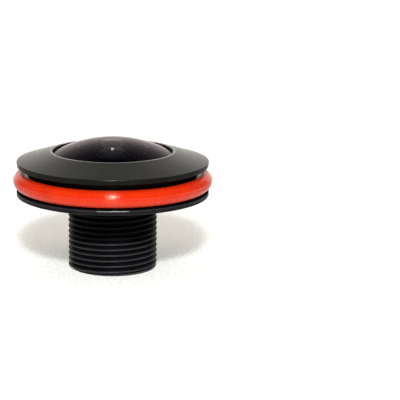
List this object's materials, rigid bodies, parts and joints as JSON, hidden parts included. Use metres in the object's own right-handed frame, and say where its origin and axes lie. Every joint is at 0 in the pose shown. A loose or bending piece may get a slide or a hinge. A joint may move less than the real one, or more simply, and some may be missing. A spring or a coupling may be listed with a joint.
{
  "type": "fisheye lens",
  "caption": "Fisheye lens with a domed front glass in a conical black bezel, a red sealing ring in a flanged gland and a fine-threaded screw barrel.",
  "frame": {"origin": "centre of the barrel's rear face, on the optical axis; the lens stands on this face", "axes": "+Z along the optical axis, towards the dome and the scene; X and Y lie across it, and the rear retainer's two spanner slots lie along X"},
  "size_m": [0.0354, 0.0354, 0.0233],
  "materials": {
    "housing_anodised": "black anodised, semi-gloss on the turned thread",
    "bezel_anodised": "black anodised, fine satin blast",
    "slip_polymer": "matte black film",
    "sealing_silicone": "moulded silicone, red-orange, soft gloss",
    "dome_glass": "polished, violet anti-reflection coating, blackened edge",
    "black_rubber": "matte black rubber",
    "black_film": "matte black sheet",
    "retainer_anodised": "black anodised, fine turned",
    "spacer_anodised": "matte black anodised",
    "inner_glass": "polished and coated, blackened edge",
    "stop_foil": "matte black foil",
    "filter_glass": "polished, coated to cut infrared"
  },
  "bodies": {
    "lens_body": {"barrel_housing": "housing_anodised", "sealing_ring": "sealing_silicone", "front_element": "dome_glass", "front_element_seal": "black_rubber", "front_light_shield": "black_film", "second_element_retainer": "retainer_anodised", "second_element": "inner_glass", "front_spacer": "spacer_anodised", "third_element": "inner_glass", "aperture_stop": "stop_foil", "stop_spacer": "spacer_anodised", "fourth_element": "inner_glass", "relay_spacer": "spacer_anodised", "doublet_front_element": "inner_glass", "doublet_rear_element": "inner_glass", "field_spacer": "spacer_anodised", "rear_element": "inner_glass"},
    "bezel_slip": {"bezel_slip_ring": "slip_polymer"},
    "bezel": {"front_bezel": "bezel_anodised"},
    "rear_slip": {"rear_slip_ring": "slip_polymer"},
    "rear_retainer": {"rear_retainer": "retainer_anodised", "infrared_filter": "filter_glass"}
  },
  "joints": [
    {"name": "bezel_lift", "type": "slide", "parent": "lens_body", "child": "bezel_slip", "axis": [0, 0, 1], "range_m": [0, 0.003]},
    {"name": "bezel_unscrew", "type": "hinge", "parent": "bezel_slip", "child": "bezel", "pos_m": [0, 0, 0.0182], "axis": [0, 0, 1], "range_deg": [0, 1440]},
    {"name": "retainer_back_off", "type": "slide", "parent": "lens_body", "child": "rear_slip", "axis": [0, 0, -1], "range_m": [0, 0.002]},
    {"name": "retainer_unscrew", "type": "hinge", "parent": "rear_slip", "child": "rear_retainer", "pos_m": [0, 0, 0.0018], "axis": [0, 0, -1], "range_deg": [0, 1440]}
  ],
  "couplings": [
    {"joint": "bezel_lift", "follows": "bezel_unscrew", "m_per_rad": 0.00011937},
    {"joint": "retainer_back_off", "follows": "retainer_unscrew", "m_per_rad": 0.000079577}
  ]
}
